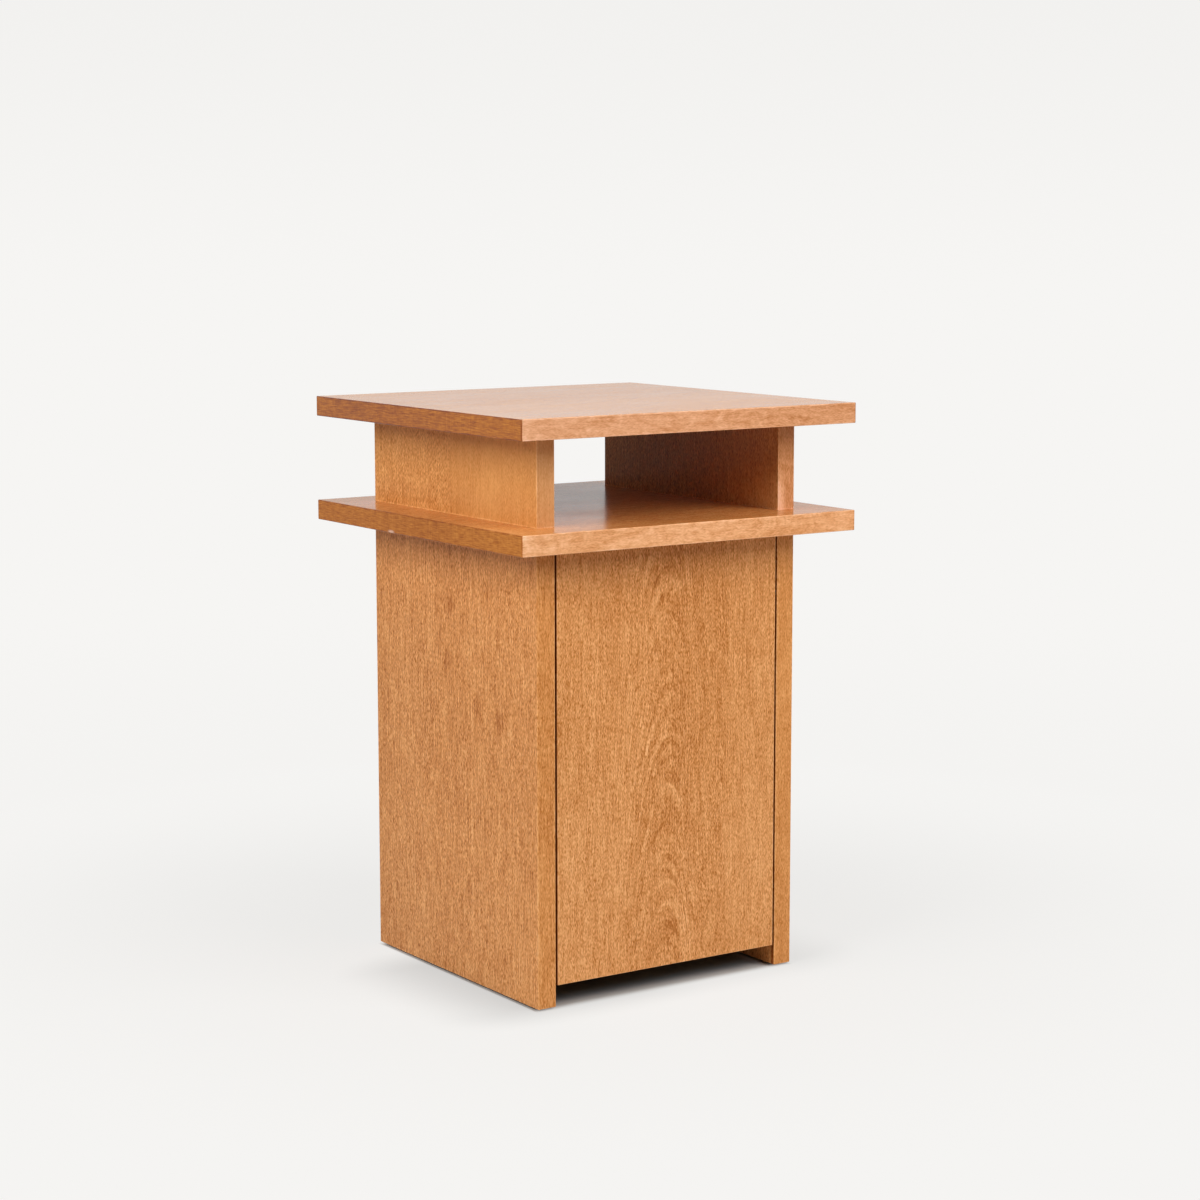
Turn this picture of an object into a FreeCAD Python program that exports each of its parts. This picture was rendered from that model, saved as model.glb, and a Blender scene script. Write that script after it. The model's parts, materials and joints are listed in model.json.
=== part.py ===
import FreeCAD, Part
import math
import os

# Side table of veneered boards: an open niche over a cabinet with one flush door that has no handle.
# Millimetres. The origin is on the floor under the middle, +Z is up and the door faces -Y.

Vec = FreeCAD.Vector
ORIGIN = Vec(0, 0, 0)
ACROSS = Vec(1, 0, 0)
BACK = Vec(0, 1, 0)
UP = Vec(0, 0, 1)

# Boards
board = 20.0
arris = 0.8
top_width = 388.0
top_depth = 386.0
side_overhang = 43.0
end_overhang = 42.0
niche_height = 85.5
cabinet_height = 440.0
back_thickness = 8.0
back_setback = 10.0
back_groove = 5.0
back_spare = 0.5

# Door and bottom
door_gap = 2.0
door_lift = 20.7
bottom_tuck = 2.0
bottom_setback = 3.0

# Dowels
dowel_radius = 4.0
dowel_in_face = 11.0
dowel_in_edge = 15.0
dowel_spare = 0.5
dowel_chamfer = 1.0
upper_dowel_share = 0.32
lower_dowel_share = 0.22

# Nailed glides
glide_height = 2.0
glide_radius = 8.0
glide_round = 0.8
glide_inset = 20.0
nail_radius = 1.1
nail_length = 14.0
nail_head_radius = 3.2
nail_head_height = 0.7
nail_head_depth = 0.5

# Barrel hinges: sizes across the gap are from its middle, sizes inwards from the front faces
hinge_inset = 60.0
barrel_radius = 7.0
barrel_length = 16.0
barrel_inwards = 9.2
barrel_rib = 0.35
barrel_rib_width = 0.8
rib_count = 3
pivot_across = 9.0
pivot_inwards = 4.9
elbow_across = 5.0
elbow_inwards = 12.8
cross_inwards = 13.5
slider_reach = 11.0
link_half_width = 1.6
link_thickness = 1.6
link_play = 0.2
pin_radius = 0.85
pin_grip = 2.2
slider_depth = 1.4
running_fit = 0.05
slider_fit = 0.12
slot_spare = 0.3
door_opens = 95.0
link_share = 0.6

# Push latch and strike plate
latch_inset = 32.0
latch_drop = 9.0
strike_radius = 6.0
strike_thickness = 1.2
strike_screw_radius = 1.4
strike_screw_head = 2.8
strike_screw_length = 12.0
magnet_gap = 0.3
magnet_radius = 3.0
magnet_thickness = 2.0
plunger_radius = 3.5
plunger_fit = 0.1
plunger_stands_out = 5.0
plunger_length = 32.0
collar_radius = 4.3
collar_length = 3.0
tube_radius = 5.5
tube_length = 52.0
tube_nose = 4.0
tube_end = 2.0
spring_wire = 0.35
spring_turns = 7
housing_width = 15.0
housing_length = 46.0
housing_setback = 1.5
housing_under = 1.5
housing_round = 1.2
ear_reach = 16.0
ear_length = 16.0
ear_thickness = 3.0
ear_screw_across = 12.0
ear_screw_radius = 1.6
ear_screw_head = 3.0
ear_screw_length = 15.0

# Cross recess in the screws' heads
drive_reach = 1.5
drive_width = 0.9
drive_depth = 1.1

# Overrun of every cutting tool, and the distance within which two places are the same
overrun = 1.0
touch = 0.01

# Places worked out from the sizes
carcass_width = top_width - 2 * side_overhang
carcass_depth = top_depth - 2 * end_overhang
side_low = glide_height
side_high = side_low + cabinet_height
shelf_high = side_high + board
niche_high = shelf_high + niche_height
top_high = niche_high + board
outer_x = carcass_width / 2
inner_x = outer_x - board
middle_x = outer_x - board / 2
front_y = -carcass_depth / 2
rear_y = carcass_depth / 2
door_back_y = front_y + board
door_low = side_low + door_lift
door_high = side_high - door_gap
bottom_low = door_low + bottom_tuck
bottom_high = bottom_low + board
back_y = rear_y - back_setback - back_thickness
groove_floor = bottom_high - back_groove
groove_roof = side_high + back_groove
hinge_heights = {"lower": door_low + hinge_inset, "upper": door_high - hinge_inset}
gap_middle = Vec(inner_x - door_gap / 2, front_y, 0)
latch_place = Vec(latch_inset - inner_x, door_back_y, side_high - latch_drop)
tube_front = strike_thickness + magnet_gap + plunger_stands_out
spring_front = strike_thickness + magnet_gap + plunger_length
spring_rear = tube_front + tube_length - tube_end

# Hinge places: x runs from the gap's middle into the side panel, y inwards, z from mid height
PIVOT = Vec(pivot_across, pivot_inwards, 0)
ELBOW = Vec(elbow_across, elbow_inwards, 0)
CROSS = Vec(0, cross_inwards, 0)
SLIDER = Vec(-slider_reach, cross_inwards, 0)
link_low = link_play / 2
link_high = link_low + link_thickness
slot_half = link_high + link_play
barrel_mouth = door_gap / 2
slot_floor = slider_reach + link_half_width + slot_spare


def block(low, high):
    """A box between two corners."""
    size = high - low
    return Part.makeBox(size.x, size.y, size.z, low)


def rod(radius, start, direction, length):
    """A round bar from a start point along a direction."""
    return Part.makeCylinder(radius, length, start, direction)


def turning(profile, start, axis):
    """A solid of revolution: profile gives (distance along the axis, radius) pairs from a start point."""
    points = [Vec(radius, 0, along) for along, radius in profile]
    face = Part.Face(Part.makePolygon(points + points[:1]))
    solid = face.revolve(ORIGIN, UP, 360)
    solid.Placement = FreeCAD.Placement(start, FreeCAD.Rotation(UP, axis))
    return solid


def eased_board(low, high, butting=()):
    """A board with eased edges, save round the ends, given by their heights, that butt on another board."""
    body = block(low, high)
    free = [edge for edge in body.Edges
            if all(abs(edge.CenterOfMass.z - end) > touch for end in butting)]
    return body.makeFillet(min(arris, board / 4), free)


def sideways(shape):
    """The shape mirrored from one side of the table to the other."""
    return shape.mirror(ORIGIN, ACROSS)


def both_sides(shapes):
    """Shapes of the right side with their mirror images on the left."""
    return list(shapes) + [sideways(shape) for shape in shapes]


def cut_all(body, tools):
    """The body with every tool cut away."""
    for tool in tools:
        body = body.cut(tool)
    return body


def dowel(joint, into_face):
    """A dowel across a joint: its face end lies on the side that into_face points to."""
    start = joint - into_face * dowel_in_edge
    length = dowel_in_edge + dowel_in_face
    slim = dowel_radius - dowel_chamfer
    profile = [(0, 0), (0, slim), (dowel_chamfer, dowel_radius), (length - dowel_chamfer, dowel_radius),
               (length, slim), (length, 0)]
    return turning(profile, start, into_face)


def dowel_bores(joint, into_face):
    """The bore of a dowel in the face and in the edge that meet at a joint."""
    start = joint - into_face * (dowel_in_edge + dowel_spare)
    return rod(dowel_radius, start, into_face, dowel_in_edge + dowel_in_face + 2 * dowel_spare)


def dowel_joints(height, share):
    """The two places where a right-hand side panel is dowelled at a height."""
    return [Vec(middle_x, end * share * carcass_depth, height) for end in (-1, 1)]


def bottom_joints():
    """The two places where the bottom is dowelled into the right-hand side panel."""
    centre_y = (door_back_y + bottom_setback + rear_y) / 2
    reach = lower_dowel_share * carcass_depth
    return [Vec(inner_x, centre_y + end * reach, bottom_low + board / 2) for end in (-1, 1)]


JOINTS = {
    "top_dowels": [(joint, UP) for joint in dowel_joints(niche_high, upper_dowel_share)],
    "niche_dowels": [(joint, -UP) for joint in dowel_joints(shelf_high, upper_dowel_share)],
    "cabinet_dowels": [(joint, UP) for joint in dowel_joints(side_high, lower_dowel_share)],
    "bottom_dowels": [(joint, ACROSS) for joint in bottom_joints()],
}


def bores(*names):
    """The bores, on both sides of the table, of the named dowels."""
    return both_sides([dowel_bores(*joint) for name in names for joint in JOINTS[name]])


def glide_places():
    """The four places under the side panels that stand on glides."""
    return [Vec(side * middle_x, end * (rear_y - glide_inset), 0) for side in (-1, 1) for end in (-1, 1)]


def glide_pad(place):
    """A glide's pad: a disc with a rounded rim and a pocket for the nail's head."""
    disc = rod(glide_radius, place, UP, glide_height)
    rim = [edge for edge in disc.Edges
           if abs(edge.CenterOfMass.z - place.z) < touch and isinstance(edge.Curve, Part.Circle)]
    disc = disc.makeFillet(min(glide_round, glide_height / 2), rim)
    pocket = rod(nail_head_radius, place - UP * overrun, UP, overrun + nail_head_depth + nail_head_height)
    return cut_all(disc, [pocket, rod(nail_radius, place, UP, glide_height + overrun)])


def glide_nail(place):
    """A glide's nail: a flat head in the pad and a pointed shank in the side panel."""
    head_top = nail_head_depth + nail_head_height
    tip = glide_height + nail_length
    profile = [(nail_head_depth, 0), (nail_head_depth, nail_head_radius), (head_top, nail_head_radius),
               (head_top, nail_radius), (tip - 2 * nail_radius, nail_radius), (tip, 0)]
    return turning(profile, place, UP)


def nail_hole(place):
    """The hole that a glide's nail makes."""
    return rod(nail_radius, place, UP, glide_height + nail_length)


def back_panel():
    """The thin back, trapped in grooves all round."""
    reach = inner_x + back_groove - back_spare
    high = Vec(reach, back_y + back_thickness, groove_roof - back_spare)
    return block(Vec(-reach, back_y, groove_floor), high)


def back_slot():
    """The space that the grooves round the back leave for it."""
    reach = inner_x + back_groove
    return block(Vec(-reach, back_y, groove_floor), Vec(reach, back_y + back_thickness, groove_roof))


def top_panel():
    """The top, bored for the dowels of the niche's sides."""
    low = Vec(-top_width / 2, -top_depth / 2, niche_high)
    body = eased_board(low, Vec(top_width / 2, top_depth / 2, top_high))
    return cut_all(body, bores("top_dowels"))


def mid_shelf():
    """The shelf between niche and cabinet, bored on both faces and grooved for the back."""
    low = Vec(-top_width / 2, -top_depth / 2, side_high)
    body = eased_board(low, Vec(top_width / 2, top_depth / 2, shelf_high))
    screws = [screw_hole(place) for place in latch_screw_places()]
    return cut_all(body, bores("niche_dowels", "cabinet_dowels") + [back_slot()] + screws)


def upper_side():
    """The right-hand side of the niche."""
    low = Vec(inner_x, front_y, shelf_high)
    body = eased_board(low, Vec(outer_x, rear_y, niche_high), (shelf_high, niche_high))
    return cut_all(body, bores("top_dowels", "niche_dowels"))


def lower_side():
    """A side of the cabinet, as on the right but without its hinge bores."""
    low = Vec(inner_x, front_y, side_low)
    body = eased_board(low, Vec(outer_x, rear_y, side_high), (side_high,))
    nails = [nail_hole(place) for place in glide_places()]
    return cut_all(body, bores("cabinet_dowels", "bottom_dowels") + [back_slot()] + nails)


def bottom_panel():
    """The cabinet's bottom, set back behind the door and grooved for the back."""
    low = Vec(-inner_x, door_back_y + bottom_setback, bottom_low)
    return cut_all(block(low, Vec(inner_x, rear_y, bottom_high)), bores("bottom_dowels") + [back_slot()])


def door_panel():
    """The flush door, bored in its right-hand edge for the hinges and on its back for the strike's screw."""
    reach = inner_x - door_gap
    body = eased_board(Vec(-reach, front_y, door_low), Vec(reach, door_back_y, door_high))
    return cut_all(body, [turned_over(barrel_bore()).translated(place) for place in hinge_places()]
                   + [strike_screw().translated(latch_place)])


def hinge_places():
    """The origin of each hinge, lower one first."""
    return [gap_middle + UP * height for height in hinge_heights.values()]


def turned_over(shape):
    """The door's half of a hinge is the cabinet's half, turned over about the inward axis."""
    return shape.rotated(ORIGIN, BACK, 180)


def barrel_bore():
    """The blind bore that a barrel is driven into."""
    return rod(barrel_radius, Vec(barrel_mouth, barrel_inwards, 0), ACROSS, barrel_length)


def turned(arm, angle):
    """A vector in plan, turned to the left."""
    return FreeCAD.Rotation(UP, angle).multVec(arm)


def slider_at(opening):
    """Where the other link's slider stands in this barrel, with the door open by an angle.

    This link turns by its share of the opening about its pivot and carries the cross rivet round.
    The other link turns by the rest, so its slider swings about the rivet by that much.
    """
    cross = PIVOT + turned(CROSS - PIVOT, link_share * opening)
    return cross + turned(CROSS - SLIDER, (1 - link_share) * opening)


def slider_groove():
    """The curved groove, in the lower cheek, that keeps the two links in step."""
    start, middle, end = [slider_at(share * door_opens) for share in (0, 0.5, 1)]
    centre = Part.Arc(start, middle, end).toShape().Curve.Center
    half = pin_radius + slider_fit
    floor = Vec(0, 0, -slot_half - slider_depth - link_play)
    outer, inner = [[place + (place - centre).normalize() * step + floor for place in (start, middle, end)]
                    for step in (half, -half)]
    cap_end = end + turned((end - centre).normalize(), 90) * half + floor
    cap_start = start + turned((start - centre).normalize(), -90) * half + floor
    edges = [Part.Arc(*outer), Part.Arc(outer[-1], cap_end, inner[-1]),
             Part.Arc(*inner[::-1]), Part.Arc(inner[0], cap_start, outer[0])]
    face = Part.Face(Part.Wire([edge.toShape() for edge in edges]))
    return face.extrude(UP * (slider_depth + link_play + slot_half))


def barrel():
    """A slotted barrel with ribs that grip its bore, a cross hole for the pivot pin and the groove."""
    body = barrel_bore()
    tail = barrel_mouth + barrel_length - slot_floor
    for index in range(rib_count):
        along = slot_floor + tail * (index + 1) / (rib_count + 1) - barrel_rib_width / 2
        start = Vec(along, barrel_inwards, 0)
        ring = rod(barrel_radius + overrun, start, ACROSS, barrel_rib_width)
        body = body.cut(ring.cut(rod(barrel_radius - barrel_rib, start, ACROSS, barrel_rib_width)))
    wide = barrel_radius + overrun
    slot = block(Vec(barrel_mouth - overrun, barrel_inwards - wide, -slot_half),
                 Vec(slot_floor, barrel_inwards + wide, slot_half))
    return cut_all(body, [slot, pivot_pin(), slider_groove()])


def pivot_pin():
    """The pin through both cheeks of a barrel that its link turns on."""
    half = slot_half + pin_grip
    return rod(pin_radius, PIVOT - UP * half, UP, 2 * half)


def strap(start, end):
    """A flat bar with round ends between two points, in the upper link's layer."""
    along = end - start
    across = turned(along, 90).normalize() * link_half_width
    corners = [start + across, start - across, end - across, end + across]
    bar = Part.Face(Part.makePolygon(corners + corners[:1]))
    ends = [rod(link_half_width, point, UP, link_thickness) for point in (start, end)]
    return bar.extrude(UP * link_thickness).multiFuse(ends).translated(UP * link_low)


def link(cross_fit):
    """A bent link from its pivot, round the elbow, across the gap to its slider."""
    places = [PIVOT, ELBOW, CROSS, SLIDER]
    body = strap(places[0], places[1])
    body = body.multiFuse([strap(*pair) for pair in zip(places[1:], places[2:])]).removeSplitter()
    radii = [(PIVOT, pin_radius + running_fit), (CROSS, pin_radius + cross_fit), (SLIDER, pin_radius)]
    return cut_all(body, [rod(radius, place, UP, slot_half) for place, radius in radii])


def slider_pin():
    """The short pin on a link's far end that runs in the other barrel's groove."""
    return rod(pin_radius, SLIDER + UP * link_low, UP, slot_half + slider_depth - link_low)


def cross_rivet():
    """The flush rivet, fast in the cabinet's link, that the door's link turns on."""
    return rod(pin_radius, CROSS - UP * link_high, UP, 2 * link_high)


def screw(length, radius, head_radius, start, axis):
    """The shape of a countersunk screw, and of its hole, from its head's face to its pointed end."""
    cone = head_radius - radius
    profile = [(0, 0), (0, head_radius), (cone, radius), (length - 2 * radius, radius), (length, 0)]
    return turning(profile, start, axis)


def with_recess(shape, start, axis):
    """The screw with a cross recess for the driver in its head."""
    half = drive_width / 2
    bars = [block(Vec(-drive_reach, -half, -overrun), Vec(drive_reach, half, drive_depth)),
            block(Vec(-half, -drive_reach, -overrun), Vec(half, drive_reach, drive_depth))]
    cross = bars[0].fuse(bars[1])
    cross.Placement = FreeCAD.Placement(start, FreeCAD.Rotation(UP, axis))
    return shape.cut(cross)


def strike_screw():
    """The strike plate's screw, from the plate's face into the back of the door, without its recess."""
    start = BACK * strike_thickness
    return screw(strike_screw_length, strike_screw_radius, strike_screw_head, start, -BACK)


def strike_plate():
    """The steel disc on the back of the door."""
    return rod(strike_radius, ORIGIN, BACK, strike_thickness).cut(strike_screw())


def magnet():
    """The magnet in the plunger's tip, just clear of the strike plate."""
    return rod(magnet_radius, BACK * (strike_thickness + magnet_gap), BACK, magnet_thickness)


def plunger():
    """The plunger: a round bar with a collar at its inner end and the magnet's pocket in its tip."""
    length, fat = plunger_length, plunger_length - collar_length
    profile = [(magnet_thickness, 0), (magnet_thickness, magnet_radius), (0, magnet_radius),
               (0, plunger_radius), (fat, plunger_radius), (fat, collar_radius),
               (length, collar_radius), (length, 0)]
    return turning(profile, BACK * (strike_thickness + magnet_gap), BACK)


def latch_tube():
    """The plunger's tube: narrow in its nose, wider for the collar and spring, closed behind."""
    guide, wide = plunger_radius + plunger_fit, collar_radius + plunger_fit
    back = tube_length - tube_end
    profile = [(0, guide), (0, tube_radius), (tube_length, tube_radius), (tube_length, 0), (back, 0),
               (back, wide), (tube_nose, wide), (tube_nose, guide)]
    return turning(profile, BACK * tube_front, BACK)


def latch_spring():
    """The coil spring behind the plunger, on arcs of a quarter turn."""
    radius = collar_radius - 2 * spring_wire
    rise = spring_rear - spring_front - 2 * spring_wire
    quarters = 4 * spring_turns

    def coil(quarter):
        turn = math.pi / 2 * quarter
        return Vec(radius * math.cos(turn), spring_front + spring_wire + rise * quarter / quarters,
                   radius * math.sin(turn))

    arcs = [Part.Arc(coil(step), coil(step + 0.5), coil(step + 1)).toShape() for step in range(quarters)]
    path = Part.Wire(arcs)
    start = arcs[0].Curve
    ring = Part.Wire(Part.makeCircle(spring_wire, coil(0), start.tangent(arcs[0].FirstParameter)[0]))
    return path.makePipeShell([ring], True, False)


def latch_screw_places():
    """Where the two screws of the latch's housing enter the shelf, seen from the latch."""
    middle = tube_front + housing_setback + housing_length / 2
    return [Vec(end * ear_screw_across, middle, latch_drop - ear_thickness) for end in (-1, 1)]


def ear_screw(place):
    """A screw of the latch's housing, from under its ear into the shelf, without its recess."""
    return screw(ear_screw_length, ear_screw_radius, ear_screw_head, place, UP)


def screw_hole(place):
    """The hole in the shelf of a screw of the latch's housing."""
    return ear_screw(place).translated(latch_place)


def latch_housing():
    """The housing that holds the tube under the shelf, with an ear each side for its screws."""
    front = tube_front + housing_setback
    middle = front + housing_length / 2
    body = block(Vec(-housing_width / 2, front, -tube_radius - housing_under),
                 Vec(housing_width / 2, front + housing_length, latch_drop))
    lower = [edge for edge in body.Edges if abs(edge.CenterOfMass.z - body.BoundBox.ZMin) < touch]
    body = body.makeFillet(housing_round, lower)
    ears = block(Vec(-ear_reach, middle - ear_length / 2, latch_drop - ear_thickness),
                 Vec(ear_reach, middle + ear_length / 2, latch_drop))
    ear_middle = latch_drop - ear_thickness / 2
    corners = [edge for edge in ears.Edges if abs(edge.CenterOfMass.z - ear_middle) < touch]
    body = body.fuse(ears.makeFillet(2 * housing_round, corners)).removeSplitter()
    tunnel = rod(tube_radius, BACK * tube_front, BACK, tube_length + overrun)
    return cut_all(body, [tunnel] + [ear_screw(place) for place in latch_screw_places()])


def hinge_nodes():
    """Each hinge's barrels and links, and the pins of both hinges as groups."""
    nodes = {}
    for name, height in hinge_heights.items():
        place = gap_middle + UP * height
        nodes["hinge_barrel_cabinet_" + name] = barrel().translated(place)
        nodes["hinge_barrel_door_" + name] = turned_over(barrel()).translated(place)
        nodes["hinge_link_cabinet_" + name] = link(0).translated(place)
        nodes["hinge_link_door_" + name] = turned_over(link(running_fit)).translated(place)
    groups = {
        "hinge_pivot_pins_cabinet": pivot_pin(),
        "hinge_pivot_pins_door": turned_over(pivot_pin()),
        "hinge_slider_pins_cabinet": slider_pin(),
        "hinge_slider_pins_door": turned_over(slider_pin()),
        "hinge_cross_rivets": cross_rivet(),
    }
    for name, shape in groups.items():
        nodes[name] = [shape.translated(place) for place in hinge_places()]
    return nodes


def latch_nodes():
    """The push latch under the shelf and the strike plate on the door."""
    shapes = {
        "latch_housing": [latch_housing()],
        "latch_tube": [latch_tube()],
        "latch_plunger": [plunger()],
        "latch_magnet": [magnet()],
        "latch_spring": [latch_spring()],
        "latch_screws": [with_recess(ear_screw(place), place, UP) for place in latch_screw_places()],
        "strike_plate": [strike_plate()],
        "strike_screw": [with_recess(strike_screw(), BACK * strike_thickness, -BACK)],
    }
    return {name: [shape.translated(latch_place) for shape in group] for name, group in shapes.items()}


def board_nodes():
    """The boards."""
    hinge_bores = [barrel_bore().translated(place) for place in hinge_places()]
    return {
        "top_panel": top_panel(),
        "mid_shelf": mid_shelf(),
        "upper_side_left": sideways(upper_side()),
        "upper_side_right": upper_side(),
        "lower_side_left": sideways(lower_side()),
        "lower_side_right": cut_all(lower_side(), hinge_bores),
        "bottom_panel": bottom_panel(),
        "back_panel": back_panel(),
        "door_panel": door_panel(),
    }


def all_nodes():
    """Every node's solids by name."""
    nodes = board_nodes()
    for name, joints in JOINTS.items():
        nodes[name] = both_sides([dowel(*joint) for joint in joints])
    nodes["glide_pads"] = [glide_pad(place) for place in glide_places()]
    nodes["glide_nails"] = [glide_nail(place) for place in glide_places()]
    nodes.update(hinge_nodes())
    nodes.update(latch_nodes())
    return nodes


def main():
    """Write one STEP file per node and print what each holds."""
    os.makedirs("parts", exist_ok=True)
    for name, shapes in all_nodes().items():
        group = shapes if isinstance(shapes, list) else [shapes]
        solids = [solid for shape in group for solid in shape.Solids]
        whole = solids[0] if len(solids) == 1 else Part.makeCompound(solids)
        whole.exportStep("parts/" + name + ".step")
        state = "valid" if whole.isValid() else "BROKEN"
        print(name, len(solids), "solids", round(whole.Volume, 1), "mm3", state)


main()
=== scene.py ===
"""Dresses, lights and frames the side table.

Every board keeps its solid from the construction and gets a stained veneer of its own, worked out in
three dimensions from Object coordinates, so that the grain runs through faces, edges and bores alike.
Lengths in the finishes are millimetres, and places in the scene are metres.
"""

import json
import logging
from dataclasses import dataclass
from enum import Enum
from typing import Sequence, Union

import bpy
import numpy as np
from mathutils import Matrix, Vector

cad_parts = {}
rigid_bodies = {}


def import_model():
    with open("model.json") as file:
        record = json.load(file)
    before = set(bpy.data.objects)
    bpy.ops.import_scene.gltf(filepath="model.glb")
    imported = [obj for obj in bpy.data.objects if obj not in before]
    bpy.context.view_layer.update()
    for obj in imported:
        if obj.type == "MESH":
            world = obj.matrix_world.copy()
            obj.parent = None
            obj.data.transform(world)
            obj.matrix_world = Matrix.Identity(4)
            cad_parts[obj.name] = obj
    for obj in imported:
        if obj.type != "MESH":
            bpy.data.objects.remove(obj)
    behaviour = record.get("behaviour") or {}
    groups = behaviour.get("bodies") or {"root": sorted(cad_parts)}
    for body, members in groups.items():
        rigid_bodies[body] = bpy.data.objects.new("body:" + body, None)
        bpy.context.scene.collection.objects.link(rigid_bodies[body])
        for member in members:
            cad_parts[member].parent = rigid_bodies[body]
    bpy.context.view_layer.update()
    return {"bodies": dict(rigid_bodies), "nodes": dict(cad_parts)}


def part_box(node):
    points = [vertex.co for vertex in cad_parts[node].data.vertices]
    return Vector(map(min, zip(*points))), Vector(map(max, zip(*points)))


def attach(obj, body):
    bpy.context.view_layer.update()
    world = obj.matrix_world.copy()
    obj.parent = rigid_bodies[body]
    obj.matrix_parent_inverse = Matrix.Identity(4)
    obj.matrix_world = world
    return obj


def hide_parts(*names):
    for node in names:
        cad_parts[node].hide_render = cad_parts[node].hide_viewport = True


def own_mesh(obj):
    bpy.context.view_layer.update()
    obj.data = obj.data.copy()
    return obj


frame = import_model()

LOG = logging.getLogger("side_table")
MM_PER_METRE = 1000.0

Range = tuple[float, float]
Colour = tuple[float, float, float]
Vector3 = tuple[float, float, float]
Box = tuple[Vector3, Vector3]
Material = bpy.types.Material
Socket = bpy.types.NodeSocket
Feed = Union[Socket, float, Sequence[float]]
# A material's colours: bright and dull, or new and worn.
Pair = tuple[Colour, Colour]
# A line across a board: its place in millimetres, its tone, and the shares of curls and of flecks there.
Band = tuple[float, float, float, float]


class Axis(Enum):
    """One of the object's three directions, as its place in a vector."""

    X = 0
    Y = 1
    Z = 2


class Lay(Enum):
    """How a board lies: the axis of its grain, and the axis its broad faces look along."""

    SLAB = (Axis.X, Axis.Z)
    SIDE = (Axis.Z, Axis.X)
    FRONT = (Axis.Z, Axis.Y)

    @property
    def grain(self) -> Axis:
        """Returns the axis that the fibres follow."""
        return self.value[0]

    @property
    def across(self) -> Axis:
        """Returns the axis across the grain in the broad faces."""
        return (set(Axis) - set(self.value)).pop()


class Shift(Enum):
    """How far the seed of each of a veneer's noises lies from the board's own seed."""

    FLECKS = 0.0
    FIBRES = 4.0
    DASHES = 8.0
    BLOTCHES = 12.0
    STREAKS = 16.0
    CLOUD = 20.0
    CURL = 29.0
    PATCHES = 33.0
    END_GRAIN = 41.0
    RUBBING = 51.0
    PORES = 61.0
    LINES = 67.0
    DRIFT = 71.0


@dataclass(frozen=True)
class Mark:
    """A soft blotch, knot or chip on a board, or a painted patch of light or shade, in millimetres."""

    centre: Vector3
    reach: Vector3
    tone: float


@dataclass(frozen=True)
class Layer:
    """One layer of figure: how long and how wide its blotches are, and how strong it is."""

    along: float
    across: float
    strength: float
    detail: float = 1.5
    distortion: float = 0.0

    def reach(self, grain: Axis) -> Vector3:
        """Returns how far a blotch reaches along x, y and z where the fibres follow an axis."""
        return tuple(self.along if axis is grain else self.across for axis in Axis)


def opaque(colour: Feed) -> Feed:
    """Returns a fixed colour with its fourth number, or an output socket as it is."""
    return colour if isinstance(colour, Socket) else (*colour, 1.0)


# Where Blender's Mix node keeps its two colours and its result, among sockets of the same names.
MIX_COLOURS = (6, 7)
MIX_RESULT = 2


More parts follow.
